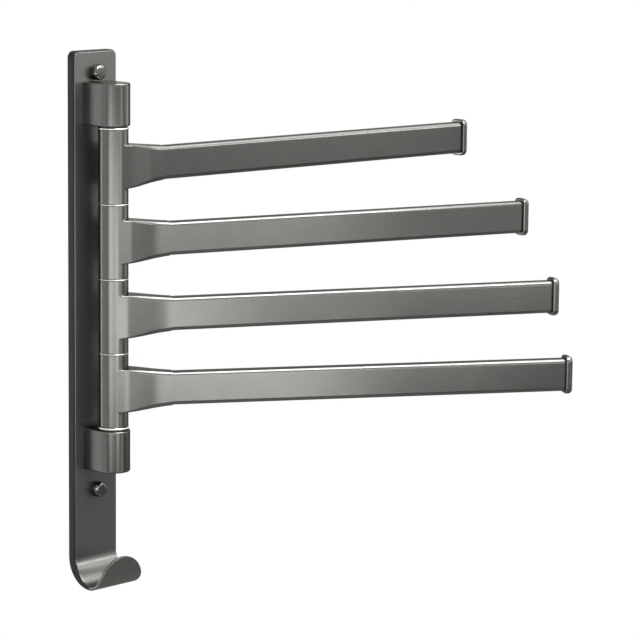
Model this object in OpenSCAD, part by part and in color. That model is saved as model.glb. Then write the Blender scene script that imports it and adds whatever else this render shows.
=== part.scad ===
// Swing arm towel bar: a wall plate with a hook at its foot, two brackets, a fixed pivot rod and four swivelling arms.
// Millimetres. The wall is the plane Y = 0, the object stands out to -Y, Z is up and X runs along the wall.
// The origin lies on the wall, level with the middle of the stack of arms.

/* [Wall plate] */
// Width of the wall plate
plate_w = 38; // [30:1:50]
// Thickness of the wall plate
plate_t = 6.4; // [5:0.1:8]
// How far the plate stands above the top bracket
plate_above = 20.2; // [14:0.2:40]
// Radius of the plate's top corners
plate_corner_r = 4.5; // [2:0.5:12]
// Rounding of the plate's front edges
plate_edge_r = 1.2; // [0.4:0.1:2]
// Radius of the bore for each wall screw
screw_bore_r = 2.6; // [2:0.1:3.2]
// Height of the upper wall screw above the top bracket
upper_screw_above = 6; // [5.8:0.1:7.4]
// Depth of the lower wall screw below the bottom bracket
lower_screw_below = 15.1; // [7:0.1:30]

/* [Hook] */
// Outer radius of the bend at the back of the hook
hook_back_r = 20.3; // [18:0.1:26]
// Outer radius of the bend at the front of the hook
hook_front_r = 12.5; // [9:0.5:16]
// Depth of the hook's lowest point below the bottom bracket
hook_below = 80.3; // [60:0.1:120]
// Thickness of the hook's lip
hook_lip_t = 2.4; // [1.6:0.1:4]
// Angle that the lip leans out from upright
hook_lean = 13; // [5:1:25]
// Height of the lip's tip above the hook's lowest point
hook_lip_h = 24.6; // [22:0.2:32]

/* [Brackets] */
// Width of each bracket, twice the radius of its nose
bracket_w = 22.4; // [22:0.2:28]
// Height of each bracket
bracket_h = 28.4; // [24:0.2:36]
// Rounding of the edges of each bracket
bracket_edge_r = 1; // [0.4:0.1:2]
// Distance from the wall to the pivot axis
axis_out = 24; // [22:0.2:32]

/* [Pivot] */
// Diameter of the pivot rod
rod_d = 8; // [6:0.2:9]
// Depth of the rod's socket in each bracket
rod_socket = 20; // [14:0.5:22]
// Height from one arm to the next
arm_pitch = 50; // [44:0.5:60]
// Thickness of the washers between the arms
seam_washer_t = 0.7; // [0.4:0.1:1.5]
// Diameter of the washers between the arms
seam_washer_d = 20.6; // [20.2:0.1:21.6]
// Thickness of the bright washer above the arms
upper_washer_t = 1.3; // [0.8:0.1:2]
// Diameter of the bright washer above the arms
upper_washer_d = 21.2; // [20.4:0.1:22]
// Thickness of the bright washer below the arms
lower_washer_t = 1.6; // [0.8:0.1:2.4]
// Diameter of the bright washer below the arms
lower_washer_d = 21.6; // [20.4:0.1:22]
// Thickness of the dark friction rings next to the brackets
friction_ring_t = 0.75; // [0.5:0.05:1.5]
// Diameter of the dark friction rings
friction_ring_d = 18.8; // [16:0.2:20]

/* [Arms] */
// Diameter of the barrel that swivels on the rod
barrel_d = 20; // [18:0.2:20.4]
// Distance from the pivot axis to the end of an arm, with its cap
arm_reach = 320.5; // [200:0.5:420]
// Height of the bar
bar_h = 22.6; // [18:0.2:26]
// Thickness of the bar
bar_w = 10; // [8:0.2:12]
// Radius of the bar's long edges
bar_r = 2.8; // [2.2:0.1:3.4]
// Wall thickness of the hollow bar
bar_wall = 1.3; // [1:0.1:2]
// Distance from the pivot axis to the joint between knuckle and bar
joint_out = 39.5; // [34:0.5:60]
// Height of the knuckle's web where it leaves the barrel
web_h = 30.2; // [26:0.2:38]
// How far the knuckle stands proud of the bar where they meet
knuckle_step = 0.45; // [0.2:0.05:1]
// Length of the knuckle's tongue inside the bar
tongue_len = 24; // [15:1:40]
// Length of the end cap
cap_len = 5; // [3.5:0.1:8]
// How far the end cap stands proud of the bar
cap_proud = 1.9; // [1:0.1:2.6]
// Radius of the end cap's corners
cap_corner_r = 4; // [3.2:0.1:5]
// Rounding of the end cap's edge next to the bar
cap_edge_r = 1; // [0.5:0.1:1.4]
// Rounding of the end cap's outer edge
cap_end_r = 2.6; // [1.4:0.1:3]
// Width of the dark gap between bar and cap
gap_len = 1; // [0.6:0.1:2]

/* [Bushes] */
// Outer diameter of the plastic bushes in each barrel
bush_d = 12; // [11.6:0.2:13]
// Length of each bush
bush_len = 14; // [8:0.5:20]

/* [Screw covers] */
// Diameter of the round screw covers
cover_d = 10.6; // [10:0.1:11.4]
// Height of the dark seat under each cover
seat_h = 2.6; // [2.2:0.1:4]
// Height of each cover
cover_h = 3.6; // [3:0.1:5]

/* [Rest pose] */
// Angle of the top arm from straight out of the wall
arm_1_angle = 85; // [-88:1:88]
// Angle of the second arm from straight out of the wall
arm_2_angle = 71.5; // [-88:0.5:88]
// Angle of the third arm from straight out of the wall
arm_3_angle = 62.5; // [-88:0.5:88]
// Angle of the bottom arm from straight out of the wall
arm_4_angle = 57; // [-88:1:88]

/* [Hidden] */
$fn = 64;
arm_angles = [arm_1_angle, arm_2_angle, arm_3_angle, arm_4_angle];
overrun = 1;
running_fit = 0.05;
axial_play = 0.05;
seat_fit = 0.03;
barrel_h = arm_pitch - seam_washer_t - 2 * axial_play;
stack_end = 2 * arm_pitch - arm_pitch / 2 + barrel_h / 2;
upper_face_z = stack_end + upper_washer_t + friction_ring_t + 3 * axial_play;
lower_face_z = -stack_end - lower_washer_t - friction_ring_t - 3 * axial_play;
rod_top_z = upper_face_z + rod_socket - overrun;
rod_bottom_z = lower_face_z - rod_socket + overrun;
plate_top = upper_face_z + bracket_h + plate_above;
upper_screw_z = upper_face_z + bracket_h + upper_screw_above;
lower_screw_z = lower_face_z - bracket_h - lower_screw_below;
hook_low = lower_face_z - bracket_h - hook_below;

// Bracket screws and grub screws
countersunk_d = 4;
countersunk_head_d = 7.6;
countersunk_head_h = 2;
countersunk_len = 14;
countersunk_inset = 0.3;
grub_d = 4;
grub_len = 8;
hex_share = 0.6;
hex_depth_share = 0.5;
grub_hex_share = 0.5;
grub_hex_depth_share = 0.25;
screw_spacing_share = 0.62;
rod_chamfer_share = 0.1;

// Arm details
bar_start = joint_out + seat_fit;
bar_end = arm_reach - cap_len - gap_len;
inner_h = bar_h - 2 * bar_wall;
inner_w = bar_w - 2 * bar_wall;
inner_r = bar_r - bar_wall;
post_h = inner_h - 2 * bar_wall;
post_w = inner_w - 2 * bar_wall;
section_steps = 5;
neck_rings = 22;
neck_start_share = 0.2;
pin_d = 3;
pin_inset_share = 0.5;
plug_len = 14;
plug_wall = 1.4;
plug_post_len_share = 0.5;
cap_steps = 5;
barrel_chamfer = 0.4;
bush_flange_t = 1.2;
bush_flange_d = 15;

// Screw cover details
cover_pocket_d = 8.6;
cover_wall_share = 0.32;
cover_edge_r = 1;
counterbore_depth = 1.6;
seat_spigot_fit = 0.05;

function smooth(s) = let (c = min(1, max(0, s))) c * c * (3 - 2 * c);
function mix(a, b, s) = a + (b - a) * s;
function arm_z(i) = (1.5 - i) * arm_pitch;

// A round-cornered rectangle as a list of points, with its own radius for the corners at -Y and at +Y
function round_section(half_y, half_z, r_front, r_back) = [
  for (corner = [[1, 1, r_back], [-1, 1, r_front], [-1, -1, r_front], [1, -1, r_back]])
    for (k = [0 : section_steps])
      let (
        turn = corner[0] * corner[1] > 0 ? k / section_steps : 1 - k / section_steps,
        a = 90 * turn,
        r = corner[2]
      )
      [corner[0] * (half_y - r + r * cos(a)), corner[1] * (half_z - r + r * sin(a))]
];

// Joins rings of points into one closed skin of triangles
module skin(rings) {
  n = len(rings[0]);
  last = len(rings) - 1;
  points = [for (ring = rings) each ring];
  sides = [
    for (i = [0 : last - 1], j = [0 : n - 1])
      let (a = i * n + j, b = i * n + (j + 1) % n, c = a + n, d = b + n)
      each [[a, d, b], [a, c, d]]
  ];
  near_end = [for (j = [1 : n - 2]) [0, j, j + 1]];
  far_end = [for (j = [1 : n - 2]) [last * n, last * n + j + 1, last * n + j]];
  polyhedron(points = points, faces = concat(sides, near_end, far_end));
}

// A flat rectangle with round corners, centred
module round_rect(w, h, r) {
  square([w - 2 * r, h], center = true);
  square([w, h - 2 * r], center = true);
  for (x = [-1, 1], y = [-1, 1])
    translate([x * (w / 2 - r), y * (h / 2 - r)]) circle(r = r);
}

// A ring with a rounded rim
module washer(outer_d, inner_d, t) {
  rotate_extrude()
    difference() {
      union() {
        translate([0, -t / 2]) square([outer_d / 2 - t / 2, t]);
        translate([outer_d / 2 - t / 2, 0]) circle(d = t);
      }
      translate([0, -t]) square([inner_d / 2, 2 * t]);
    }
}

module at_axis(z) {
  translate([0, -axis_out, z]) children();
}

// The children are drawn with the arm along +X and the pivot axis at the origin
module at_arm(i) {
  at_axis(arm_z(i)) rotate([0, 0, arm_angles[i] - 90]) children();
}

// Round holes and screws that run along Y, from the wall outwards
module along_wall_normal(x, z) {
  translate([x, 0, z]) rotate([90, 0, 0]) children();
}

function bracket_mid(side) =
  side > 0 ? upper_face_z + bracket_h / 2 : lower_face_z - bracket_h / 2;

function bracket_screw_z(side) = [
  for (k = [-1, 1]) bracket_mid(side) + k * bracket_h * screw_spacing_share / 2
];

// Outline of the plate seen from above, the same as the hook's first ring
module plate_plan() {
  polygon([for (p = hook_ring(back_point(0), plate_t, plate_w / 2)) [p[0], p[1]]]);
}

// Outline of the plate seen from the front, with round top corners
module plate_front(foot_z) {
  translate([-plate_w / 2, foot_z]) square([plate_w, plate_top - plate_corner_r - foot_z]);
  translate([-plate_w / 2 + plate_corner_r, foot_z])
    square([plate_w - 2 * plate_corner_r, plate_top - foot_z]);
  for (x = [-1, 1])
    translate([x * (plate_w / 2 - plate_corner_r), plate_top - plate_corner_r])
      circle(r = plate_corner_r);
}

// The hook: the plate runs on round a back bend, thins, turns up round a front bend and ends in a round tongue
hook_centre_z = hook_low + hook_back_r;
front_centre_z = hook_low + hook_front_r;
front_turn = 90 - hook_lean;
lip_start = [
  -hook_back_r - hook_front_r * sin(front_turn),
  front_centre_z - hook_front_r * cos(front_turn)
];
lip_len = (hook_low + hook_lip_h - lip_start[1]) / cos(hook_lean);
front_arc_len = PI * hook_front_r * front_turn / 180;
front_run = front_arc_len + lip_len;
tongue_r = plate_w / 2;
thinning_shares = [0.28, 1.05];
edge_limit_share = 0.45;
back_edge_share = 0.33;
back_stations = 14;
tongue_stations = 14;
tongue_turn = 87;

function hook_thickness(share) =
  mix(plate_t, hook_lip_t,
      smooth((share - thinning_shares[0]) / (thinning_shares[1] - thinning_shares[0])));

// Outer point and inward direction, at a run s past the lowest point of the hook
function front_point(s) =
  s < front_arc_len
    ? let (a = 180 * s / (PI * hook_front_r))
      [-hook_back_r - hook_front_r * sin(a), front_centre_z - hook_front_r * cos(a), sin(a), cos(a)]
    : let (d = s - front_arc_len)
      [lip_start[0] - d * sin(hook_lean), lip_start[1] + d * cos(hook_lean),
       cos(hook_lean), sin(hook_lean)];

function back_point(share) =
  let (a = 90 * share)
  [-hook_back_r + hook_back_r * cos(a), hook_centre_z - hook_back_r * sin(a), -cos(a), sin(a)];

// One ring of the hook: a round-cornered strip across the width, from the outer skin inwards
function hook_ring(place, t, half_w) =
  let (r = min(plate_edge_r, edge_limit_share * t))
  [
    for (p = round_section(t / 2, half_w, r, r * back_edge_share))
      let (depth = t / 2 - p[0])
      [p[1], place[0] + place[2] * depth, place[1] + place[3] * depth]
  ];

module hook_skin() {
  back = [for (k = [0 : back_stations])
    let (share = k / back_stations) hook_ring(back_point(share), hook_thickness(share), tongue_r)];
  front_flat = front_run - tongue_r;
  flat = [for (s = [front_flat / 2, front_flat]) hook_ring(front_point(s), hook_lip_t, tongue_r)];
  tongue = [for (k = [1 : tongue_stations])
    let (a = tongue_turn * k / tongue_stations)
    hook_ring(front_point(front_flat + tongue_r * sin(a)), hook_lip_t, mix(plate_edge_r, tongue_r, cos(a)))];
  skin(concat(back, flat, tongue));
}

module backplate() {
  color("#5b5c5a")
    difference() {
      union() {
        intersection() {
          translate([0, 0, hook_centre_z]) linear_extrude(plate_top - hook_centre_z) plate_plan();
          rotate([90, 0, 0]) linear_extrude(plate_t + overrun) plate_front(hook_centre_z - overrun);
        }
        hook_skin();
      }
      for (z = [upper_screw_z, lower_screw_z]) {
        along_wall_normal(0, z) translate([0, 0, -overrun])
          cylinder(r = screw_bore_r, h = plate_t + 2 * overrun);
        along_wall_normal(0, z) translate([0, 0, plate_t - counterbore_depth])
          cylinder(d = cover_pocket_d, h = counterbore_depth + overrun);
      }
      for (side = [-1, 1])
        for (z = bracket_screw_z(side)) {
          along_wall_normal(0, z) translate([0, 0, -overrun])
            cylinder(d = countersunk_d + 2 * seat_fit, h = plate_t + 2 * overrun);
          along_wall_normal(0, z) translate([0, 0, -overrun])
            cylinder(d = countersunk_head_d + 2 * seat_fit, h = overrun + countersunk_inset);
          along_wall_normal(0, z) translate([0, 0, countersunk_inset])
            cylinder(d1 = countersunk_head_d + 2 * seat_fit, d2 = countersunk_d + 2 * seat_fit,
                     h = countersunk_head_h);
        }
    }
}

// Outline of a bracket seen from above: flat sides and a round nose about the pivot axis
module bracket_plan() {
  circle(d = bracket_w);
  translate([-bracket_w / 2, 0]) square([bracket_w, axis_out - plate_t]);
}

module bracket(side) {
  base_z = bracket_mid(side) - bracket_h / 2;
  face_z = side > 0 ? upper_face_z : lower_face_z;
  socket_z = side > 0 ? face_z - overrun : face_z - rod_socket;
  difference() {
    union() {
      at_axis(base_z + bracket_edge_r) linear_extrude(bracket_h - 2 * bracket_edge_r) bracket_plan();
      at_axis(bracket_mid(side))
        rotate([-90, 0, 0]) linear_extrude(axis_out - plate_t)
          round_rect(bracket_w, bracket_h, bracket_edge_r);
      at_axis(bracket_mid(side))
        rotate_extrude()
          intersection() {
            round_rect(bracket_w, bracket_h, bracket_edge_r);
            translate([0, -bracket_h]) square([bracket_w, 2 * bracket_h]);
          }
    }
    at_axis(socket_z) cylinder(d = rod_d + 2 * seat_fit, h = rod_socket + overrun);
    for (z = bracket_screw_z(side))
      along_wall_normal(0, z) cylinder(d = countersunk_d + 2 * seat_fit, h = countersunk_len + overrun);
    along_wall_normal(0, bracket_mid(side)) cylinder(d = grub_d + 2 * seat_fit, h = axis_out);
  }
}

module top_bracket() {
  color("#6f706d") bracket(1);
}

module bottom_bracket() {
  color("#6f706d") bracket(-1);
}

// Countersunk screw with a hexagon socket, head on the wall side
module countersunk_screw() {
  difference() {
    union() {
      cylinder(d1 = countersunk_head_d, d2 = countersunk_d, h = countersunk_head_h);
      cylinder(d = countersunk_d, h = countersunk_len);
    }
    translate([0, 0, -overrun])
      cylinder(d = countersunk_d * hex_share, h = overrun + countersunk_head_h * hex_depth_share, $fn = 6);
  }
}

module bracket_screws() {
  color("#8c8e90")
    for (side = [-1, 1])
      for (z = bracket_screw_z(side))
        along_wall_normal(0, z) translate([0, 0, countersunk_inset]) countersunk_screw();
}

module rod_grub_screws() {
  color("#3c3d3f")
    for (side = [-1, 1])
      along_wall_normal(0, bracket_mid(side)) translate([0, 0, axis_out - rod_d / 2 - grub_len])
        difference() {
          cylinder(d = grub_d, h = grub_len);
          translate([0, 0, -overrun])
            cylinder(d = grub_d * grub_hex_share, h = overrun + grub_len * grub_hex_depth_share, $fn = 6);
        }
}

module pivot_rod() {
  chamfer = rod_d * rod_chamfer_share;
  color("#b9bbbd")
    at_axis(rod_bottom_z)
      rotate_extrude()
        polygon([
          [0, 0], [rod_d / 2 - chamfer, 0], [rod_d / 2, chamfer],
          [rod_d / 2, rod_top_z - rod_bottom_z - chamfer],
          [rod_d / 2 - chamfer, rod_top_z - rod_bottom_z], [0, rod_top_z - rod_bottom_z]
        ]);
}

module top_washer() {
  color("#d8d9da")
    at_axis(stack_end + axial_play + upper_washer_t / 2)
      washer(upper_washer_d, rod_d + 2 * running_fit, upper_washer_t);
}

module bottom_washer() {
  color("#d8d9da")
    at_axis(-stack_end - axial_play - lower_washer_t / 2)
      washer(lower_washer_d, rod_d + 2 * running_fit, lower_washer_t);
}

module seam_washer(i) {
  color("#cfd0d1")
    at_axis(arm_z(i) - arm_pitch / 2)
      washer(seam_washer_d, rod_d + 2 * running_fit, seam_washer_t);
}

module friction_ring(z) {
  color("#1d1e1f")
    at_axis(z)
      difference() {
        cylinder(d = friction_ring_d, h = friction_ring_t);
        translate([0, 0, -overrun])
          cylinder(d = rod_d + 2 * running_fit, h = friction_ring_t + 2 * overrun);
      }
}

module top_friction_ring() {
  friction_ring(upper_face_z - axial_play - friction_ring_t);
}

module bottom_friction_ring() {
  friction_ring(lower_face_z + axial_play);
}

// The knuckle's neck: as thick as the barrel at its root, drawn in to the section of the bar
neck_width_shares = [0.25, 0.72];
neck_blend_share = 0.8;
neck_root_fit = 0.25;
neck_edge_share = 0.5;

function neck_ring(s) =
  let (
    x = mix(barrel_d * neck_start_share / 2, joint_out, s),
    half_y = mix(barrel_d / 2 - neck_root_fit, bar_w / 2 + knuckle_step,
                 smooth((s - neck_width_shares[0]) / (neck_width_shares[1] - neck_width_shares[0]))),
    half_z = mix(web_h / 2, bar_h / 2 + knuckle_step, mix(smooth(s), s, neck_blend_share)),
    r = mix(bar_r * neck_edge_share, bar_r + knuckle_step, s)
  )
  [for (p = round_section(half_y, half_z, r, r)) [x, p[0], p[1]]];

module knuckle(i) {
  color("#8a8b88")
    at_arm(i)
      difference() {
        union() {
          translate([0, 0, -barrel_h / 2])
            rotate_extrude()
              polygon([
                [0, 0], [barrel_d / 2 - barrel_chamfer, 0], [barrel_d / 2, barrel_chamfer],
                [barrel_d / 2, barrel_h - barrel_chamfer],
                [barrel_d / 2 - barrel_chamfer, barrel_h], [0, barrel_h]
              ]);
          skin([for (k = [0 : neck_rings]) neck_ring(k / neck_rings)]);
          translate([joint_out - overrun, 0, 0])
            rotate([0, 90, 0])
              linear_extrude(tongue_len + overrun)
                round_rect(inner_h - 2 * seat_fit, inner_w - 2 * seat_fit, inner_r - seat_fit);
        }
        translate([0, 0, -barrel_h / 2 - overrun])
          cylinder(d = bush_d + 2 * seat_fit, h = barrel_h + 2 * overrun);
        for (z = [-1, 1])
          translate([0, 0, z * (barrel_h / 2) - bush_flange_t])
            cylinder(d = bush_flange_d + 2 * seat_fit, h = 2 * bush_flange_t);
        translate([joint_out + tongue_len * pin_inset_share, 0, -bar_h / 2])
          cylinder(d = pin_d + 2 * seat_fit, h = bar_h / 2);
      }
}

// Two flanged bushes, one pressed into each end of the barrel
module bushes(i) {
  color("#2a2b2c")
    at_arm(i)
      for (z = [-1, 1])
        mirror([0, 0, z > 0 ? 0 : 1])
          translate([0, 0, barrel_h / 2])
            rotate_extrude()
              polygon([
                [rod_d / 2 + running_fit, -bush_len], [bush_d / 2, -bush_len],
                [bush_d / 2, -bush_flange_t + seat_fit], [bush_flange_d / 2, -bush_flange_t + seat_fit],
                [bush_flange_d / 2, 0], [rod_d / 2 + running_fit, 0]
              ]);
}

module bar(i) {
  color("#8a8b88")
    at_arm(i)
      difference() {
        translate([bar_start, 0, 0])
          rotate([0, 90, 0])
            linear_extrude(bar_end - bar_start)
              difference() {
                round_rect(bar_h, bar_w, bar_r);
                round_rect(inner_h, inner_w, inner_r);
              }
        translate([joint_out + tongue_len * pin_inset_share, 0, -bar_h])
          cylinder(d = pin_d + 2 * seat_fit, h = bar_h);
      }
}

// Pin that holds the bar on the knuckle's tongue, pressed in from below
module bar_pin(i) {
  color("#9a9c9e")
    at_arm(i)
      translate([joint_out + tongue_len * pin_inset_share, 0, -bar_h / 2])
        cylinder(d = pin_d, h = bar_h / 2 - seat_fit);
}

// Dark plug in the end of the bar, whose flange is the gap line beside the cap
module end_plug(i) {
  post_len = cap_len * plug_post_len_share;
  color("#151617")
    at_arm(i)
      translate([bar_end, 0, 0])
        rotate([0, 90, 0]) {
          translate([0, 0, seat_fit])
            linear_extrude(gap_len - 2 * seat_fit)
              round_rect(bar_h - gap_len / 2, bar_w - gap_len / 2, bar_r);
          translate([0, 0, -plug_len])
            linear_extrude(plug_len + gap_len / 2)
              difference() {
                round_rect(inner_h - 2 * seat_fit, inner_w - 2 * seat_fit, inner_r - seat_fit);
                round_rect(inner_h - 2 * plug_wall, inner_w - 2 * plug_wall, inner_r - seat_fit);
              }
          translate([0, 0, gap_len / 2])
            linear_extrude(gap_len / 2 + post_len - seat_fit)
              round_rect(post_h, post_w, inner_r);
        }
}

// Outline of the end cap seen along the bar, drawn in by an inset
module cap_outline(inset) {
  round_rect(bar_h + 2 * cap_proud - 2 * inset, bar_w + 2 * cap_proud - 2 * inset, cap_corner_r - inset);
}

module end_cap(i) {
  post_len = cap_len * plug_post_len_share;
  color("#7d7e7b")
    at_arm(i)
      translate([bar_end + gap_len, 0, 0])
        rotate([0, 90, 0])
          difference() {
            hull() {
              for (k = [0 : cap_steps])
                let (a = 90 * k / cap_steps) {
                  translate([0, 0, cap_edge_r * (1 - cos(a))])
                    linear_extrude(cap_len - cap_end_r - cap_edge_r * (1 - cos(a)))
                      cap_outline(cap_edge_r * (1 - sin(a)), $fn = 32);
                  translate([0, 0, cap_edge_r])
                    linear_extrude(cap_len - cap_edge_r - cap_end_r * (1 - cos(a)))
                      cap_outline(cap_end_r * (1 - sin(a)), $fn = 32);
                }
            }
            translate([0, 0, -overrun])
              linear_extrude(overrun + post_len)
                round_rect(post_h + 2 * seat_fit, post_w + 2 * seat_fit, inner_r);
          }
}

// Dark seat under a screw cover: a ring whose spigot sits in the plate's counterbore
module cover_seat(z) {
  color("#1b1c1d")
    along_wall_normal(0, z)
      rotate_extrude()
        polygon([
          [screw_bore_r, plate_t - counterbore_depth],
          [cover_pocket_d / 2 - seat_spigot_fit, plate_t - counterbore_depth],
          [cover_pocket_d / 2 - seat_spigot_fit, plate_t], [cover_d / 2, plate_t],
          [cover_d / 2, plate_t + seat_h], [screw_bore_r, plate_t + seat_h]
        ]);
}

// Round cap over the screw, hollow for the screw's head
module screw_cover(z) {
  wall = cover_h * cover_wall_share;
  color("#8a8b88")
    along_wall_normal(0, z)
      translate([0, 0, plate_t + seat_h])
        rotate_extrude()
          difference() {
            union() {
              square([cover_d / 2 - cover_edge_r, cover_h]);
              square([cover_d / 2, cover_h - cover_edge_r]);
              translate([cover_d / 2 - cover_edge_r, cover_h - cover_edge_r]) circle(r = cover_edge_r);
            }
            translate([-overrun, -overrun])
              square([cover_d / 2 - wall + overrun, cover_h - wall + overrun]);
            translate([-cover_d, -cover_d]) square([cover_d, 4 * cover_d]);
          }
}

module top_cover_seat() { cover_seat(upper_screw_z); }
module bottom_cover_seat() { cover_seat(lower_screw_z); }
module top_screw_cover() { screw_cover(upper_screw_z); }
module bottom_screw_cover() { screw_cover(lower_screw_z); }

module arm_1_knuckle() { knuckle(0); }
module arm_2_knuckle() { knuckle(1); }
module arm_3_knuckle() { knuckle(2); }
module arm_4_knuckle() { knuckle(3); }
module arm_1_bushes() { bushes(0); }
module arm_2_bushes() { bushes(1); }
module arm_3_bushes() { bushes(2); }
module arm_4_bushes() { bushes(3); }
module arm_1_bar() { bar(0); }
module arm_2_bar() { bar(1); }
module arm_3_bar() { bar(2); }
module arm_4_bar() { bar(3); }
module arm_1_pin() { bar_pin(0); }
module arm_2_pin() { bar_pin(1); }
module arm_3_pin() { bar_pin(2); }
module arm_4_pin() { bar_pin(3); }
module arm_1_end_plug() { end_plug(0); }
module arm_2_end_plug() { end_plug(1); }
module arm_3_end_plug() { end_plug(2); }
module arm_4_end_plug() { end_plug(3); }
module arm_1_end_cap() { end_cap(0); }
module arm_2_end_cap() { end_cap(1); }
module arm_3_end_cap() { end_cap(2); }
module arm_4_end_cap() { end_cap(3); }

backplate();
top_bracket();
bottom_bracket();
bracket_screws();
rod_grub_screws();
pivot_rod();
top_friction_ring();
top_washer();
seam_washer(0);  // seam_washer_1
seam_washer(1);  // seam_washer_2
seam_washer(2);  // seam_washer_3
bottom_washer();
bottom_friction_ring();
top_cover_seat();
bottom_cover_seat();
top_screw_cover();
bottom_screw_cover();
arm_1_knuckle();
arm_1_bushes();
arm_1_bar();
arm_1_pin();
arm_1_end_plug();
arm_1_end_cap();
arm_2_knuckle();
arm_2_bushes();
arm_2_bar();
arm_2_pin();
arm_2_end_plug();
arm_2_end_cap();
arm_3_knuckle();
arm_3_bushes();
arm_3_bar();
arm_3_pin();
arm_3_end_plug();
arm_3_end_cap();
arm_4_knuckle();
arm_4_bushes();
arm_4_bar();
arm_4_pin();
arm_4_end_plug();
arm_4_end_cap();
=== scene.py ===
# %% [markdown]
# Swing arm towel bar, dressed for its picture
#
# The object is a gunmetal-grey aluminium towel bar: a wall plate that ends in a hook, two brackets, a
# rod, and four arms that swivel on the rod. Its construction comes in as a fixed frame of solids. This
# script gives every surface its finish, and remodels the pieces whose soft curves the solids only hold in
# flat facets. Lengths are in metres, and one written in millimetres is multiplied by MM.

# %% Load the frame
import math

import bmesh
import bpy
from mathutils import Matrix, Vector


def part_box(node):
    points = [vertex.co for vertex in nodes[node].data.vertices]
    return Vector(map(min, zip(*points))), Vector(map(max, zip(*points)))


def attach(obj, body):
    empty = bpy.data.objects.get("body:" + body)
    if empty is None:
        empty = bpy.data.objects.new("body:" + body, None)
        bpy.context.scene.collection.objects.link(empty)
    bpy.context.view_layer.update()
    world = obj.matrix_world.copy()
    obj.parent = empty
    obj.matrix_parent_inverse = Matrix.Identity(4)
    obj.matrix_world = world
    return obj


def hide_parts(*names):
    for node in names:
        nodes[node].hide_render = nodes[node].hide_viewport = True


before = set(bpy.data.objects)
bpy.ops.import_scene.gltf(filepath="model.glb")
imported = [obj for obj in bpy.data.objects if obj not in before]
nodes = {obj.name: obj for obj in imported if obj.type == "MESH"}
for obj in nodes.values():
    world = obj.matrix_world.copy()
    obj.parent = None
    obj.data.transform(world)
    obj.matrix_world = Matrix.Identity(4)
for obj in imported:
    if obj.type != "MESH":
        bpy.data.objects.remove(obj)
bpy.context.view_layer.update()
MM = 0.001

# %% [markdown]
# The camera stands where the photographer stood. Its place was worked out from the edges of the plate,
# the barrels and the bars: about two metres away, to the left and a little above, with a long lens that
# keeps the four arms nearly parallel. The camera is rolled by 0.6 of a degree, and nothing is shifted.

# %% Camera
camera_place = Vector((-1.3123, -1.4555, 0.2968))
camera_turn = math.radians(-46.573)
camera_pitch = math.radians(9.474)
camera_roll = math.radians(0.631)

camera_data = bpy.data.cameras.new("camera")
camera_data.lens = 165.9
camera_data.sensor_width = 36.0
camera_data.clip_start = 0.05
camera_data.clip_end = 50.0
camera = bpy.data.objects.new("camera", camera_data)
bpy.context.scene.collection.objects.link(camera)
camera.matrix_world = (
    Matrix.Translation(camera_place)
    @ Matrix.Rotation(camera_turn, 4, "Z")
    @ Matrix.Rotation(math.pi / 2 - camera_pitch, 4, "X")
    @ Matrix.Rotation(camera_roll, 4, "Z")
)
bpy.context.scene.camera = camera
bpy.context.scene.view_settings.view_transform = "Standard"
print("the camera is", round(camera_place.length, 2), "m from the plate")

# %% [markdown]
# A finish is a small network of shader nodes. A few helpers keep the networks short. One turns the hex
# colours that people write into the linear light values that a renderer adds up, by the sRGB formula, and
# one adds a node with its settings and links.

# %% Helpers for finishes
def linear(hex_colour):
    """Turns an sRGB hex colour such as 656462 into linear red, green, blue and alpha."""
    parts = [int(hex_colour[i : i + 2], 16) / 255 for i in (0, 2, 4)]
    return [p / 12.92 if p <= 0.04045 else ((p + 0.055) / 1.055) ** 2.4 for p in parts] + [1.0]


def add_node(tree, kind, inputs=None, **settings):
    """Adds a shader node. An input is a value, or another node, whose first output is linked in."""
    node = tree.nodes.new(kind)
    for name, value in settings.items():
        setattr(node, name, value)
    for name, value in (inputs or {}).items():
        if isinstance(value, bpy.types.Node):
            value = value.outputs[0]
        if isinstance(value, bpy.types.NodeSocket):
            tree.links.new(value, node.inputs[name])
        else:
            node.inputs[name].default_value = value
    return node


def new_finish(name):
    """Makes an empty material and gives it and its node tree."""
    material = bpy.data.materials.new(name)
    material.use_nodes = True
    material.node_tree.nodes.clear()
    return material, material.node_tree


def put_on_surface(tree, shader):
    """Ends a network: what the shader gives is what the surface shows."""
    add_node(tree, "ShaderNodeOutputMaterial", {"Surface": shader})


# %% [markdown]
# Nearly all of the object is anodised aluminium: the metal under a thin, hard, dyed layer of its own
# oxide. The dye makes the metal's reflections a warm dark grey, and takes some of the shine away at flat
# angles. What differs is how each piece was worked before the bath. Noise in object coordinates gives the
# marks, at their real size in metres. It changes the roughness, tilts the surface a little with a bump,
# and lets the dye run a shade lighter or darker. Noise seldom leaves the range from 0.3 to 0.7, so that
# range is spread over the whole change. The brushed metal's highlights stretch along an upright tangent.
# It leans a little, because a face that looks straight up has no upright direction.

# %% Anodised aluminium
dyed_grey = "656462"
# The sides and top rim of the plate are coloured nearly black: painted shade.
painted_side_shade_grey = "272725"
flat_angle_grey = "9c9b98"
noise_low = 0.3
noise_high = 0.7
cloud_size = 22 * MM
tone_spread = 0.03
mark_depth = 0.02 * MM
tangent_lean = 0.03


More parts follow.
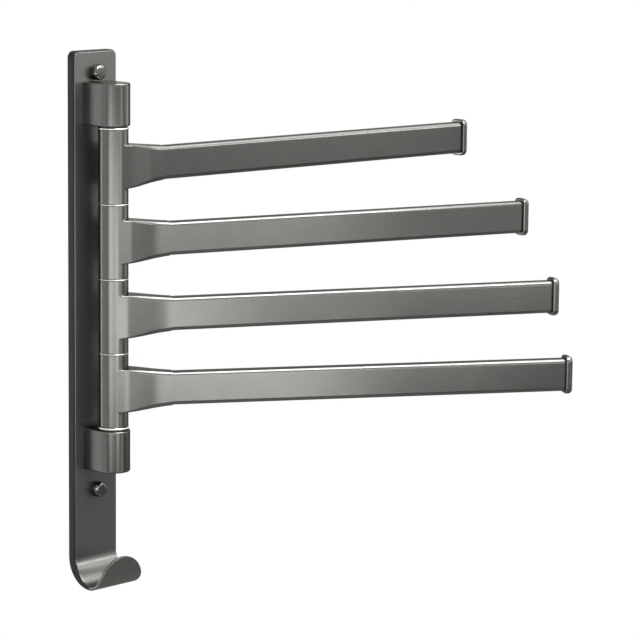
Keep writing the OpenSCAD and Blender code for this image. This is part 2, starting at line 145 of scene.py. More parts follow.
def anodised_aluminium(
    name, colour, metal_share, roughness, roughness_spread, mark_size, mark_stretch, relief, anisotropy
):
    """mark_size is across the marks, and mark_stretch says how much longer they are in each direction."""
    material, tree = new_finish(name)
    place = add_node(tree, "ShaderNodeTexCoord").outputs["Object"]
    mark_scale = [1 / (mark_size * stretch) for stretch in mark_stretch]
    stretched = add_node(tree, "ShaderNodeMapping", {"Vector": place, "Scale": mark_scale})
    marks = add_node(
        tree, "ShaderNodeTexNoise", {"Vector": stretched, "Scale": 1.0, "Detail": 3.0, "Roughness": 0.6}
    )
    clouds = add_node(tree, "ShaderNodeTexNoise", {"Vector": place, "Scale": 1 / cloud_size, "Detail": 2.0})
    shine = add_node(
        tree,
        "ShaderNodeMapRange",
        {"Value": marks, "From Min": noise_low, "From Max": noise_high,
         "To Min": roughness - roughness_spread, "To Max": roughness + roughness_spread},
    )
    tone = add_node(
        tree,
        "ShaderNodeMapRange",
        {"Value": clouds, "From Min": noise_low, "From Max": noise_high,
         "To Min": 1 - tone_spread, "To Max": 1 + tone_spread},
    )
    dye = add_node(tree, "ShaderNodeHueSaturation", {"Color": linear(colour), "Value": tone})
    bump = add_node(tree, "ShaderNodeBump", {"Height": marks, "Strength": relief, "Distance": mark_depth})
    upright = add_node(tree, "ShaderNodeCombineXYZ", {"X": 0.0, "Y": tangent_lean, "Z": 1.0})
    shader = add_node(
        tree,
        "ShaderNodeBsdfPrincipled",
        {"Base Color": dye, "Metallic": metal_share, "Roughness": shine, "Anisotropic": anisotropy,
         "Specular Tint": linear(flat_angle_grey), "Tangent": upright, "Normal": bump},
    )
    put_on_surface(tree, shader)
    return material


# %% [markdown]
# Four ways of working the metal. The plate and the hook are blasted with fine beads: an even, soft sheen,
# with a little scattered light in it, so the metallic value stays below 1. The bars, knuckles and caps
# are brushed along their length, and the barrels around: the marks lie level, so a lamp smears up and
# down, not sideways. They are drawn 0.3 mm apart, coarser than the real 0.05 mm, so that they show at
# all, and faint, because from two metres the metal looks even. The brackets and the round covers are
# polished after brushing, so they mirror the room more clearly. The saw-cut sides and top rim of the plate
# are rough, and their marks run up and down. Their nearly black colour is painted shade: without it
# the sides would mirror the bright room.

# %% The four workings
bead_dimple = 0.35 * MM
brush_mark = 0.3 * MM
saw_mark = 0.3 * MM
blasted = anodised_aluminium(
    "bead_blasted_anodised_aluminium", dyed_grey, metal_share=0.83, roughness=0.3, roughness_spread=0.04,
    mark_size=bead_dimple, mark_stretch=(1, 1, 1), relief=0.25, anisotropy=0.0,
)
brushed = anodised_aluminium(
    "brushed_anodised_aluminium", dyed_grey, metal_share=1.0, roughness=0.26, roughness_spread=0.018,
    mark_size=brush_mark, mark_stretch=(50, 50, 1), relief=0.02, anisotropy=0.35,
)
satin = anodised_aluminium(
    "satin_anodised_aluminium", dyed_grey, metal_share=1.0, roughness=0.22, roughness_spread=0.03,
    mark_size=brush_mark, mark_stretch=(30, 30, 1), relief=0.1, anisotropy=0.0,
)
# The saw-cut finish: rough, with marks up and down, and a near-black colour that is painted shade.
saw_cut_and_shaded = anodised_aluminium(
    "saw_cut_aluminium_in_painted_shade", painted_side_shade_grey, metal_share=0.6, roughness=0.4, roughness_spread=0.05,
    mark_size=saw_mark, mark_stretch=(1, 1, 30), relief=0.3, anisotropy=0.0,
)
print("anodised finishes:", blasted.name, brushed.name, satin.name, saw_cut_and_shaded.name)

# %% [markdown]
# The washers are nickel-plated steel: bright enough to draw the white lines between the barrels. The rod
# and the pins are ground stainless steel, the screws zinc-plated or blackened. Turning leaves marks about
# 0.2 mm apart on them, which change the roughness a little.

# %% Steels
turning_mark = 0.2 * MM
turning_spread = 0.05


def turned_steel(name, colour, roughness):
    """Plain metal whose roughness varies with the marks of its turning or grinding."""
    material, tree = new_finish(name)
    place = add_node(tree, "ShaderNodeTexCoord").outputs["Object"]
    marks = add_node(tree, "ShaderNodeTexNoise", {"Vector": place, "Scale": 1 / turning_mark, "Detail": 3.0})
    shine = add_node(
        tree,
        "ShaderNodeMapRange",
        {"Value": marks, "To Min": roughness - turning_spread, "To Max": roughness + turning_spread},
    )
    shader = add_node(
        tree,
        "ShaderNodeBsdfPrincipled",
        {"Base Color": linear(colour), "Metallic": 1.0, "Roughness": shine},
    )
    put_on_surface(tree, shader)
    return material


nickel = turned_steel("nickel_plated_steel", "d9d6cf", 0.22)
ground = turned_steel("ground_stainless_steel", "bcbab5", 0.28)
zinc = turned_steel("zinc_plated_steel", "b4b8bc", 0.34)
blackened = turned_steel("blackened_steel", "2d2c2b", 0.38)
print("steels:", nickel.name, ground.name, zinc.name, blackened.name)

# %% [markdown]
# The friction rings, the seats under the round covers and the plugs in the bars are moulded black nylon,
# the bushes black acetal. Spark-eroded moulds leave a grain of about 0.2 mm, which keeps the highlights
# dull.

# %% Moulded plastics
mould_grain = 0.2 * MM
grain_depth = 0.02 * MM
grain_relief = 0.3
grain_spread = 0.06


def moulded_plastic(name, colour, roughness, index):
    """A dyed plastic with the fine grain of its mould. The index is how strongly it bends light."""
    material, tree = new_finish(name)
    place = add_node(tree, "ShaderNodeTexCoord").outputs["Object"]
    grain = add_node(tree, "ShaderNodeTexNoise", {"Vector": place, "Scale": 1 / mould_grain, "Detail": 2.0})
    bump = add_node(
        tree, "ShaderNodeBump", {"Height": grain, "Strength": grain_relief, "Distance": grain_depth}
    )
    shine = add_node(
        tree,
        "ShaderNodeMapRange",
        {"Value": grain, "To Min": roughness - grain_spread, "To Max": roughness + grain_spread},
    )
    shader = add_node(
        tree,
        "ShaderNodeBsdfPrincipled",
        {"Base Color": linear(colour), "Roughness": shine, "IOR": index, "Normal": bump},
    )
    put_on_surface(tree, shader)
    return material


nylon = moulded_plastic("moulded_black_nylon", "191919", 0.5, 1.53)
acetal = moulded_plastic("moulded_black_acetal", "202022", 0.36, 1.48)
print("plastics:", nylon.name, acetal.name)

# %% [markdown]
# The solids that are already smooth keep their shape and take a finish: the brackets, bars, washers and
# all that is small or hidden. The others take one too, and are replaced further on.

# %% Finish the solids
finish_of = {
    "plate_aluminium": blasted,
    "bracket_aluminium": satin,
    "knuckle_aluminium": brushed,
    "bar_aluminium": brushed,
    "cap_aluminium": brushed,
    "cover_aluminium": satin,
    "polished_steel": nickel,
    "stainless_steel": ground,
    "zinc_plated_steel": zinc,
    "black_steel": blackened,
    "black_nylon": nylon,
    "acetal": acetal,
}
for solid in nodes.values():
    for slot in solid.material_slots:
        slot.material = finish_of[slot.material.name]
print("finished", len(nodes), "solids")

# %% [markdown]
# The remodelled pieces are skins of rings: a ring of points is drawn for each cross-section, and
# neighbouring rings are joined with four-sided faces. A weighted-normal modifier then keeps the wide flat
# faces flat in the light, and lets only the narrow rounded edges turn.

# %% Helpers for skins
merge_distance = 0.001 * MM
sharp_angle = math.radians(50)


def clamp(share):
    return min(1.0, max(0.0, share))


def smooth(share):
    """Goes from 0 to 1 with no kink at either end."""
    share = clamp(share)
    return share * share * (3 - 2 * share)


def mix(low, high, share):
    return low + (high - low) * share


def quarter_turn(steps):
    """The angles of a quarter circle, in equal steps."""
    return [math.pi / 2 * k / steps for k in range(steps + 1)]


def round_section(half_width, half_height, radius, steps=7):
    """Points round a rectangle with round corners, as (across, up)."""
    points = []
    for side, level in ((1, 1), (-1, 1), (-1, -1), (1, -1)):
        angles = quarter_turn(steps) if side * level > 0 else reversed(quarter_turn(steps))
        for angle in angles:
            across = half_width - radius + radius * math.cos(angle)
            up = half_height - radius + radius * math.sin(angle)
            points.append((side * across, level * up))
    return points


def join_rings(rings, open_ends=False):
    """Joins rings with the same number of points into faces, and closes the two ends."""
    count = len(rings[0])
    points = [point for ring in rings for point in ring]
    faces = []
    for i in range(len(rings) - 1):
        for j in range(count):
            k = (j + 1) % count
            faces.append((i * count + j, i * count + k, (i + 1) * count + k, (i + 1) * count + j))
    if not open_ends:
        faces.append(tuple(range(count)))
        faces.append(tuple((len(rings) - 1) * count + j for j in range(count)))
    return points, faces


def moved_skin(skin, matrix):
    """The same skin, with its points moved by a matrix."""
    points, faces = skin
    return [tuple(matrix @ Vector(point)) for point in points], faces


def build_piece(name, skins, finish):
    """Makes one object from one or more (points, faces) skins."""
    mesh = bmesh.new()
    for points, faces in skins:
        corners = [mesh.verts.new(point) for point in points]
        for face in faces:
            mesh.faces.new([corners[i] for i in face])
    bmesh.ops.remove_doubles(mesh, verts=mesh.verts, dist=merge_distance)
    bmesh.ops.dissolve_degenerate(mesh, edges=mesh.edges, dist=merge_distance)
    bmesh.ops.recalc_face_normals(mesh, faces=mesh.faces)
    data = bpy.data.meshes.new(name)
    mesh.to_mesh(data)
    mesh.free()
    data.materials.append(finish)
    piece = bpy.data.objects.new(name, data)
    bpy.context.scene.collection.objects.link(piece)
    return piece


def shade_piece(piece):
    """Smooths the rounded edges and keeps real corners and flat faces crisp."""
    piece.data.shade_smooth()
    piece.data.set_sharp_from_angle(angle=sharp_angle)
    weighted = piece.modifiers.new("keep_flat_faces_flat", "WEIGHTED_NORMAL")
    weighted.keep_sharp = True


# %% [markdown]
# Wall plate and hook. The real piece is one strip of aluminium, 38 mm wide and 6.4 mm thick. At its foot
# it is drawn thin and bent forward and up again into a round tongue. One skin follows the whole strip: a
# station is a distance along it, and a rim profile says how far in and how deep each point of the rounded
# edge lies. At the top corners and round the tongue the stations fan out about the corner's centre, so
# the rim keeps its width there. The strip starts to get thinner 0.28 of the way round the back bend, and
# is down to the lip's thickness just past its end.

# %% Path of the plate and the hook
plate_w = 38 * MM
plate_t = 6.4 * MM
plate_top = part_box("backplate")[1].z
plate_corner_r = 4.5 * MM
hook_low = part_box("backplate")[0].z
hook_back_r = 20.3 * MM
hook_front_r = 12 * MM
hook_lip_h = 22.4 * MM
hook_lip_t = 2.4 * MM
hook_lean = math.radians(8)
thinning_start = 0.28
thinning_end = 1.05

back_arc = hook_back_r * math.pi / 2
front_turn = math.pi / 2 - hook_lean
front_arc = hook_front_r * front_turn
hook_centre_z = hook_low + hook_back_r
front_centre_z = hook_low + hook_front_r
lip_start_y = -hook_back_r - hook_front_r * math.sin(front_turn)
lip_start_z = front_centre_z - hook_front_r * math.cos(front_turn)
lip_len = (hook_low + hook_lip_h - lip_start_z) / math.cos(hook_lean)


def skin_place(along):
    """Outer point and inward direction in Y and Z, at a distance along the strip from the hook's start."""
    if along <= 0:
        return 0.0, hook_centre_z - along, -1.0, 0.0
    if along <= back_arc:
        a = along / hook_back_r
        return (-hook_back_r + hook_back_r * math.cos(a), hook_centre_z - hook_back_r * math.sin(a),
                -math.cos(a), math.sin(a))
    along -= back_arc
    if along <= front_arc:
        a = along / hook_front_r
        return (-hook_back_r - hook_front_r * math.sin(a), front_centre_z - hook_front_r * math.cos(a),
                math.sin(a), math.cos(a))
    along -= front_arc
    return (lip_start_y - along * math.sin(hook_lean), lip_start_z + along * math.cos(hook_lean),
            math.cos(hook_lean), math.sin(hook_lean))


def strip_thickness(along):
    """The plate's thickness above the hook, the lip's at the end, and a smooth draw in the bends between."""
    share = along / back_arc
    drawn = smooth((share - thinning_start) / (thinning_end - thinning_start))
    return mix(plate_t, hook_lip_t, drawn)


strip_len = plate_top - hook_centre_z + back_arc + front_arc + lip_len
print("the strip is", round(strip_len / MM), "mm long")

# %% [markdown]
# The front edge of the strip is rounded by 1.2 mm, or by 0.45 of its thickness where that is less, and
# the back edge by a third of that.

# %% Stations and rim
plate_edge_r = 1.2 * MM
edge_limit_share = 0.45
back_edge_share = 0.33
front_edge_steps = 6
back_edge_steps = 3


def rim_profile(thickness):
    """The rounded edge from the front face to the back face, as (inset, depth). Depth 0 is the back face."""
    r = min(plate_edge_r, edge_limit_share * thickness)
    back_r = back_edge_share * r
    front = [(r * (1 - math.sin(a)), thickness - r * (1 - math.cos(a)))
             for a in quarter_turn(front_edge_steps)]
    back = [(back_r * (1 - math.cos(a)), back_r * (1 - math.sin(a)))
            for a in quarter_turn(back_edge_steps)]
    return front + back


def station(along, half_width, fan_radius=0.0, fan_angle=0.0, way=1):
    """Points of the rim on the +X side. A fan turns them about a centre, fan_radius in from the edge."""
    thickness = strip_thickness(along)
    points = []
    for inset, depth in rim_profile(thickness):
        reach = fan_radius - inset
        across = half_width - fan_radius + (reach * math.cos(fan_angle) if fan_radius else -inset)
        run = along + (way * reach * math.sin(fan_angle) if fan_radius else 0.0)
        y, z, in_y, in_z = skin_place(run)
        points.append((across, y + in_y * depth, z + in_z * depth))
    return points


half_w = plate_w / 2
top_fan = hook_centre_z - plate_top + plate_corner_r
tongue_fan = back_arc + front_arc + lip_len - half_w
corner_steps = 10
upright_steps = 12
bend_steps = 64
tongue_steps = 28
chains = [station(top_fan, half_w, plate_corner_r, a, -1) for a in reversed(quarter_turn(corner_steps))]
chains += [station(top_fan * (1 - k / upright_steps), half_w) for k in range(1, upright_steps + 1)]
chains += [station(tongue_fan * k / bend_steps, half_w) for k in range(1, bend_steps)]
chains += [station(tongue_fan, half_w, half_w, a) for a in quarter_turn(tongue_steps)]
rings = [chain + [(-x, y, z) for x, y, z in reversed(chain)] for chain in chains]
print(len(rings), "rings of", len(rings[0]), "points")

# %% Wall plate with its hook
rim_points = len(chains[0])
ring_points = len(rings[0])
points, faces = join_rings(rings, open_ends=True)
for ring in (0, len(rings) - 1):
    first = ring * ring_points
    for j in range(rim_points - 1):
        mirrored = first + ring_points - 1 - j
        faces.append((first + j, first + j + 1, mirrored - 1, mirrored))
plate = build_piece("wall_plate_with_hook", [(points, faces)], blasted)
print("plate and hook:", len(plate.data.polygons), "faces")

# %% [markdown]
# Holes in the plate. Two bores take the wall screws, with a pocket in front for the seats of the round
# covers. Four countersunk holes at the back take the screws that hold the brackets. A boolean modifier
# cuts them with one object of turned cutters, and is applied at once, because the cutters are thrown
# away.

# %% Helpers for turned shapes and cuts
def turned_rings(outline, steps):
    """Turns an outline of (radius, height) points about the Z axis: each point gives one ring."""
    turns = [2 * math.pi * k / steps for k in range(steps)]
    return [[(r * math.cos(turn), r * math.sin(turn), height) for turn in turns] for r, height in outline]


def cut_away(piece, cutter):
    """Cuts one object out of another and removes the cutter."""
    modifier = piece.modifiers.new("cut", "BOOLEAN")
    modifier.object = cutter
    modifier.operation = "DIFFERENCE"
    modifier.solver = "EXACT"
    bpy.context.view_layer.update()
    evaluated = piece.evaluated_get(bpy.context.evaluated_depsgraph_get())
    result = bpy.data.meshes.new_from_object(evaluated)
    piece.modifiers.clear()
    piece.data = result
    bpy.data.objects.remove(cutter)


# %% [markdown]
# In the outline of a cutter, the height is the distance out from the wall, so the cutter is turned to lie
# that way. An outline stops just short of the axis, so that its end rings still have a face to close
# them.

# %% Holes
seat_fit = 0.03 * MM
least_r = 0.01 * MM
cut_from = -1 * MM
cut_to = 8 * MM
wall_hole_r = 2.6 * MM
seat_pocket_r = 4.3 * MM
seat_pocket_depth = 1.6 * MM
bracket_screw_r = 2 * MM
bracket_screw_head_r = 3.8 * MM
bracket_screw_head_h = 2 * MM
bracket_screw_inset = 0.3 * MM
screw_spacing_share = 0.62
hole_steps = 48
out_from_wall = Matrix.Rotation(math.pi / 2, 4, "X")

wall_screw_heights = [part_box(name + "_screw_cover")[0].z / 2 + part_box(name + "_screw_cover")[1].z / 2
                      for name in ("top", "bottom")]
bracket_screw_heights = []
for bracket in ("top_bracket", "bottom_bracket"):
    low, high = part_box(bracket)
    middle = (low.z + high.z) / 2
    aside = (high.z - low.z) * screw_spacing_share / 2
    bracket_screw_heights += [middle + way * aside for way in (-1, 1)]

pocket_floor = plate_t - seat_pocket_depth
wall_bore = [(least_r, cut_from), (wall_hole_r, cut_from), (wall_hole_r, pocket_floor),
             (seat_pocket_r, pocket_floor), (seat_pocket_r, cut_to), (least_r, cut_to)]
head_r = bracket_screw_head_r + seat_fit
shank_r = bracket_screw_r + seat_fit
cone_end = bracket_screw_inset + bracket_screw_head_h
countersink = [(least_r, cut_from), (head_r, cut_from), (head_r, bracket_screw_inset),
               (shank_r, cone_end), (shank_r, cut_to), (least_r, cut_to)]
cutters = []
for outline, heights in ((wall_bore, wall_screw_heights), (countersink, bracket_screw_heights)):
    skin = join_rings(turned_rings(outline, hole_steps))
    for height in heights:
        cutters.append(moved_skin(skin, Matrix.Translation((0, 0, height)) @ out_from_wall))
cut_away(plate, build_piece("plate_cutters", cutters, blasted))
print("plate after cutting:", len(plate.data.polygons), "faces")

# %% [markdown]
# A face of the plate takes the saw-cut finish, with its painted shade, where it looks sideways, down to
# the start of the hook's second bend, or where it looks up at the top rim. Looking sideways takes in the
# outer part of the rounded front edge, so the shade is painted over the highlight that edge would catch.
# Walls of the holes that look sideways take it too, out of sight.

# %% Saw-cut sides and top, in painted shade
least_sideways = 0.45
least_upward = 0.3
top_rim_h = 8 * MM
plate.data.materials.append(saw_cut_and_shaded)
# Faces that look sideways, or up at the top rim, get the painted shade.
for face in plate.data.polygons:
    on_side = abs(face.normal.x) > least_sideways and face.center.y > -hook_back_r
    on_top = face.normal.z > least_upward and face.center.z > plate_top - top_rim_h
    if on_side or on_top:
        face.material_index = 1
shade_piece(plate)
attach(plate, "wall_unit")
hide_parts("backplate")
print("sawn faces:", sum(face.material_index for face in plate.data.polygons))

# %% [markdown]
# Knuckles. Each arm swivels on a turned barrel with a web that runs out to the bar. On the real casting
# the web leaves the barrel at a tangent, as wide as the barrel, and a straight taper with eased ends
# draws it in to the bar's thickness: a steeper neck would mirror a darker part of the room. Its top and
# bottom run into the barrel in a small fillet. The web is a skin of rings whose first ring lies on the
# barrel's own surface.

# %% Barrel
arm_pitch = 50 * MM
seam_washer_t = 0.7 * MM
axial_play = 0.05 * MM
barrel_r = 10 * MM
barrel_half_h = (arm_pitch - seam_washer_t - 2 * axial_play) / 2
barrel_edge = 0.4 * MM
bush_r = 6 * MM
bush_flange_r = 7.5 * MM
bush_flange_t = 1.2 * MM
barrel_edge_steps = 4
barrel_steps = 128


def barrel_outline():
    """Half of the barrel's cross-section with its bore, the flange seats and softly broken edges."""
    edge = [(barrel_r - barrel_edge * (1 - math.sin(a)), barrel_half_h - barrel_edge * (1 - math.cos(a)))
            for a in quarter_turn(barrel_edge_steps)]
    bore_r = bush_r + seat_fit
    seat_r = bush_flange_r + seat_fit
    seat_z = barrel_half_h - bush_flange_t
    upper = [(bore_r, seat_z), (seat_r, seat_z), (seat_r, barrel_half_h)] + edge
    return upper + [(r, -z) for r, z in reversed(upper)]


barrel = join_rings(turned_rings(barrel_outline(), barrel_steps), open_ends=True)
last = (len(barrel_outline()) - 1) * barrel_steps
# The last ring is joined to the first, and that makes the bore.
for k in range(barrel_steps):
    after = (k + 1) % barrel_steps
    barrel[1].append((last + k, last + after, after, k))
print("barrel of", len(barrel[1]), "faces")

# %% [markdown]
# A ring of the web is placed by its distance from the pivot axis, measured along the web's flat side. The
# first lies on the barrel, sunk in by a hair. The last stands flat at the joint with the bar, a small
# step proud of it. Those between go over from one to the other, and stand closer together near the
# barrel. The height falls mostly in a straight line, and the edges are as round as the bar's well before
# the joint. A tongue that fits inside the bar follows.

# %% Web
sunk = 0.03 * MM
web_root_r = barrel_r - sunk
web_half_h = 14.6 * MM
web_start_edge_r = 0.6 * MM
fillet_r = 1.3 * MM
joint_out = 39.5 * MM
knuckle_step = 0.45 * MM
tongue_len = 24 * MM
bar_half_w = 5 * MM
bar_half_h = 11.3 * MM
bar_r = 2.8 * MM
bar_wall = 1.3 * MM
neck_from = 5.5 * MM
neck_to = 39 * MM
neck_ease_in = 0.12
neck_ease_out = 0.42
straight_share = 0.8
edge_growth = 1.3
ring_crowding = 1.4
web_rings = 64


def neck_taper(share):
    """How much of the narrowing is done: a straight taper, eased at both ends."""
    straight = 1 - (neck_ease_in + neck_ease_out) / 2
    if share < neck_ease_in:
        return share**2 / (2 * neck_ease_in * straight)
    if share < 1 - neck_ease_out:
        return (share - neck_ease_in / 2) / straight
    return 1 - (1 - share) ** 2 / (2 * neck_ease_out * straight)


def web_ring(out):
    """One cross-section of the web."""
    narrowed = neck_taper(clamp((out - neck_from) / (neck_to - neck_from)))
    half_width = mix(web_root_r, bar_half_w + knuckle_step, narrowed)
    on_barrel = math.sqrt(max(0.0, web_root_r**2 - half_width**2))
    share = max(0.0, out - on_barrel) / (joint_out - on_barrel)
    lowered = mix(smooth(share), share, straight_share)
    half_height = mix(web_half_h, bar_half_h + knuckle_step, lowered)
    radius = mix(web_start_edge_r, bar_r + knuckle_step, smooth(out / neck_to * edge_growth))
    from_barrel = share * (joint_out - barrel_r)
    if from_barrel < fillet_r:
        half_height += fillet_r - math.sqrt(fillet_r**2 - (fillet_r - from_barrel) ** 2)
    ring = []
    for across, up in round_section(half_width, half_height, radius):
        behind = math.sqrt(max(0.0, web_root_r**2 - across**2))
        ring.append((mix(behind, joint_out, share), across, up))
    return ring


tongue_in = bar_wall + seat_fit
tongue_section = round_section(bar_half_w - tongue_in, bar_half_h - tongue_in, bar_r - bar_wall)
web = join_rings(
    [web_ring(joint_out * (k / web_rings) ** ring_crowding) for k in range(web_rings + 1)]
    + [[(x, across, up) for across, up in tongue_section] for x in (joint_out, joint_out + tongue_len)]
)
print("web of", len(web[1]), "faces")

# %% [markdown]
# The arms stand as in the photograph. An arm's angle is 0 straight out from the wall and 90 along it, to
# the right. The same barrel and web are moved to each arm's height and turned to its angle.

# %% Four knuckles
arm_angles = (85, 71.5, 62.5, 57)
arm_heights = [arm_pitch * storey for storey in (1.5, 0.5, -0.5, -1.5)]
axis_y = -24 * MM


def arm_frame(number):
    """Where an arm lies: its own X runs out along the bar, from the pivot axis."""
    turn = math.radians(arm_angles[number - 1] - 90)
    return Matrix.Translation((0, axis_y, arm_heights[number - 1])) @ Matrix.Rotation(turn, 4, "Z")


for number in (1, 2, 3, 4):
    skins = [moved_skin(skin, arm_frame(number)) for skin in (barrel, web)]
    knuckle = build_piece(f"arm_{number}_barrel_and_web", skins, brushed)
    shade_piece(knuckle)
    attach(knuckle, f"arm_{number}")
    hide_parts(f"arm_{number}_knuckle")
print("knuckle:", len(knuckle.data.polygons), "faces")

# %% [markdown]
# Screw covers. Each is a turned button that hides a wall screw. Its front edge is a quarter circle, so
# wide that the flat of the face is smaller than the edge around it: that edge is what catches the
# crescent of light.

# %% Two screw covers
button_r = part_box("top_screw_cover")[1].x
button_edge_r = 2.3 * MM
button_wall = 1.1 * MM
button_edge_steps = 10
button_steps = 96
for place in ("top", "bottom"):
    low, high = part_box(place + "_screw_cover")
    button_h = high.y - low.y
    inside_r = button_r - button_wall
    inside_h = button_h - button_wall
    outline = [(least_r, inside_h), (inside_r, inside_h), (inside_r, 0), (button_r, 0)]
    for a in quarter_turn(button_edge_steps):
        edge_r = button_r - button_edge_r * (1 - math.cos(a))
        edge_h = button_h - button_edge_r * (1 - math.sin(a))
        outline.append((edge_r, edge_h))
    outline.append((least_r, button_h))
    stand = Matrix.Translation((0, high.y, (low.z + high.z) / 2)) @ out_from_wall
    skin = moved_skin(join_rings(turned_rings(outline, button_steps)), stand)
    button = build_piece(place + "_button", [skin], satin)
    shade_piece(button)
    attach(button, "wall_unit")
    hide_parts(place + "_screw_cover")
print("buttons", round(2 * button_r / MM, 1), "mm across, edge", round(button_edge_r / MM, 1), "mm")

# %% [markdown]
# End caps. A cast cushion-shaped cap closes each bar, behind a dark gap. It stands proud of the bar all
# round, and its outer edges are far rounder than the edge beside the gap. The skin starts in the pocket
# that holds the plug's post.

# %% Four end caps
arm_reach = 320.5 * MM
cap_len = 5 * MM
cap_start = arm_reach - cap_len
cap_proud = 1.9 * MM
cap_corner_r = 4 * MM
cap_edge_r = 1 * MM
cap_end_r = 2.6 * MM
cap_pocket_depth = 2.5 * MM
cap_edge_steps = 8


def cap_ring(out, inset):
    """One cross-section of the cap, drawn in by an inset."""
    half_width = bar_half_w + cap_proud - inset
    half_height = bar_half_h + cap_proud - inset
    section = round_section(half_width, half_height, cap_corner_r - inset)
    return [(cap_start + out, across, up) for across, up in section]


pocket_in = 2 * bar_wall - seat_fit
pocket_section = round_section(bar_half_w - pocket_in, bar_half_h - pocket_in, bar_r - bar_wall)
cap_rings = []
for out in (cap_pocket_depth, 0.0):
    cap_rings.append([(cap_start + out, across, up) for across, up in pocket_section])
for a in quarter_turn(cap_edge_steps):
    cap_rings.append(cap_ring(cap_edge_r * (1 - math.cos(a)), cap_edge_r * (1 - math.sin(a))))
for a in reversed(quarter_turn(cap_edge_steps)):
    cap_rings.append(cap_ring(cap_len - cap_end_r * (1 - math.cos(a)), cap_end_r * (1 - math.sin(a))))
cap_skin = join_rings(cap_rings)
for number in (1, 2, 3, 4):
    cap = build_piece(f"arm_{number}_cushion_cap", [moved_skin(cap_skin, arm_frame(number))], brushed)
    shade_piece(cap)
    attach(cap, f"arm_{number}")
    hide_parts(f"arm_{number}_end_cap")
print("cap:", len(cap.data.polygons), "faces, from", len(cap_rings), "rings")

# %% [markdown]
# Floor and world. The picture's ground is pure white, so the world is white to the camera and in
# reflections, and gives less light than that. The floor is a matt pale sheet, 1 m below the hook, that
# ends at the wall, out of the picture. Metal that faces the room shows it as a dimmer band under the
# horizon.

# %% Floor
floor_z = -1.2
floor_reach = 20.0
floor_mesh = bpy.data.meshes.new("floor")
floor_mesh.from_pydata(
    [(-floor_reach, -floor_reach, floor_z), (floor_reach, -floor_reach, floor_z),
     (floor_reach, 0, floor_z), (-floor_reach, 0, floor_z)],
    [],
    [(0, 1, 2, 3)],
)
floor_finish, floor_tree = new_finish("matt_painted_floor")
matt_paint = add_node(
    floor_tree, "ShaderNodeBsdfPrincipled", {"Base Color": linear("e2e1de"), "Roughness": 0.9}
)
put_on_surface(floor_tree, matt_paint)
floor_mesh.materials.append(floor_finish)
floor = bpy.data.objects.new("floor", floor_mesh)
bpy.context.scene.collection.objects.link(floor)
print("floor at", floor_z, "m")

# %% World
seen_strength = 1.0
fill_strength = 0.3
world = bpy.data.worlds.new("white_studio")
bpy.context.scene.world = world
world.use_nodes = True
sky = world.node_tree
sky.nodes.clear()
rays = add_node(sky, "ShaderNodeLightPath")
looked_at = rays.outputs["Is Camera Ray"]
for ray in ("Is Glossy Ray", "Is Transmission Ray"):
    looked_at = add_node(sky, "ShaderNodeMath", {0: looked_at, 1: rays.outputs[ray]}, operation="MAXIMUM")
fill_light = add_node(sky, "ShaderNodeBackground", {"Color": (1, 1, 1, 1), "Strength": fill_strength})
white_ground = add_node(sky, "ShaderNodeBackground", {"Color": (1, 1, 1, 1), "Strength": seen_strength})
shown = add_node(sky, "ShaderNodeMixShader", {0: looked_at, 1: fill_light, 2: white_ground})
add_node(sky, "ShaderNodeOutputWorld", {"Surface": shown})
print("the world is seen at strength", seen_strength, "and lights at", fill_strength)

# %% [markdown]
# Lamps. Metal shows a flat lamp as a bright shape, so what counts is where each panel stands and how
# bright it looks. Each arm points another way, so each mirrors another part of the room. A row of low
# panels stands in an arc, 0.6 m out: the barrels and the roots of the two lower arms show them, and the
# ends of the arms look past them. Two level strips are what the second and third arm show. Small strips
# above and below them draw the streaks on the round brackets, and the upper one lifts the second arm a
# little. Two tall panels draw thin lines: the left one down the barrels, the one behind the wall's plane
# down the left edges of the plate and the barrels. Further out, one panel lifts the first arm, one the
# second, and one the root of the first arm and the plate behind the barrels. One high up shows in the
# bend of the hook, and wide panels overhead draw the white lines along the upper edges.

# %% Helpers for panels
def light_panel(name, place, aim, width, tall, brightness):
    """A flat lamp. Its brightness is how bright it looks, so its power grows with its size."""
    light = bpy.data.lights.new(name, "AREA")
    light.shape = "RECTANGLE"
    light.size = width
    light.size_y = tall
    light.energy = brightness * math.pi * width * tall
    lamp = bpy.data.objects.new(name, light)
    bpy.context.scene.collection.objects.link(lamp)
    lamp.location = place
    lamp.rotation_euler = (Vector(aim) - Vector(place)).to_track_quat("-Z", "Y").to_euler()
    lamp.visible_camera = False
    print(name, "gives", round(light.energy, 2), "W")


def panel_round_axis(name, azimuth, distance, height, width, tall, brightness):
    """A panel that stands round the pivot axis: azimuth 0 is straight in front of the wall, 90 along +X."""
    a = math.radians(azimuth)
    place = (math.sin(a) * distance, axis_y - math.cos(a) * distance, height)
    light_panel(name, place, (0, axis_y, height), width, tall, brightness)


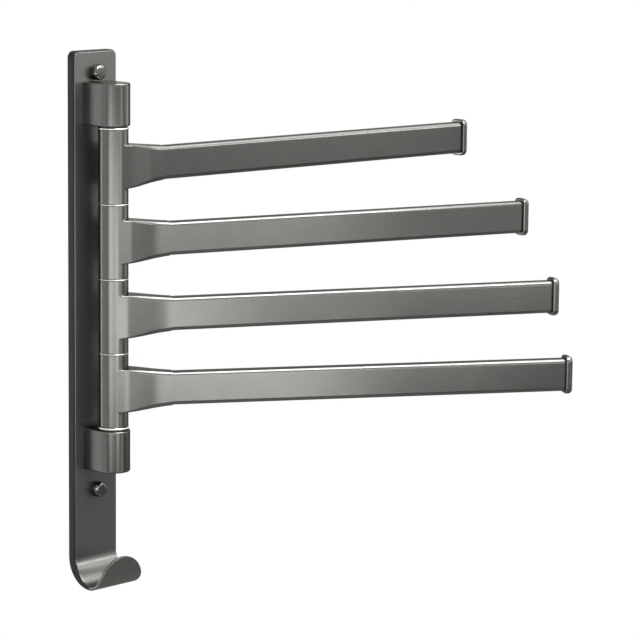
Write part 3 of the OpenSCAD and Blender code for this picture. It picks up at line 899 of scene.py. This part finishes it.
def panel_before_wall(name, across, distance, height, width, tall, brightness):
    """A panel that stands parallel to the wall and looks straight at it."""
    light_panel(name, (across, -distance, height), (across, 0, height), width, tall, brightness)


# %% [markdown]
# A panel round the axis is placed by its azimuth in degrees, and one before the wall by its place along
# it. Then follow its distance, height, width and tallness in metres, and its brightness. A panel overhead
# is given by where it stands and what it looks at.

# %% Low panels and strips
panel_round_axis("low_panel_68_left", -68, 0.62, -0.085, 0.26, 0.24, 3.4)
panel_round_axis("low_panel_46_left", -46, 0.62, -0.085, 0.24, 0.24, 3.4)
panel_round_axis("low_panel_27_left", -27, 0.62, -0.09, 0.18, 0.18, 3.6)
panel_before_wall("low_panel_front", -0.125, 0.6, -0.115, 0.18, 0.22, 4.1)
panel_before_wall("strip_for_second_arm", 0.11, 0.6, -0.022, 0.3, 0.07, 3.1)
panel_before_wall("strip_for_third_arm", 0.03, 0.6, -0.115, 0.15, 0.05, 2.2)

# %% Panels further out
panel_round_axis("tall_panel_left", -60, 1.0, -0.17, 0.16, 0.5, 1.2)
panel_round_axis("tall_panel_back", -160, 1.0, -0.17, 0.6, 0.6, 3.4)
panel_round_axis("upper_plate_panel", 43, 1.0, 0.04, 0.24, 0.16, 0.5)
panel_round_axis("top_bracket_strip", 14, 1.0, 0.06, 0.12, 0.12, 2.2)
panel_round_axis("bottom_bracket_strip", 14, 1.0, -0.34, 0.12, 0.12, 1.6)
panel_round_axis("far_front_panel", 20, 2.2, -0.45, 0.6, 0.5, 0.8)
panel_round_axis("far_right_panel", 68, 2.0, -0.2, 0.75, 0.5, 2.2)
panel_round_axis("hook_panel", 42, 2.5, 0.62, 0.6, 0.36, 14.0)

# %% Panels overhead
light_panel("overhead_panel", (0.15, -0.45, 0.6), (0.15, -0.1, 0), 0.6, 0.45, 13.0)
light_panel("overhead_right_panel", (0.7, -0.25, 0.6), (0.2, -0.05, 0), 0.6, 0.5, 4.0)

# %% [markdown] End

print("the scene is dressed")
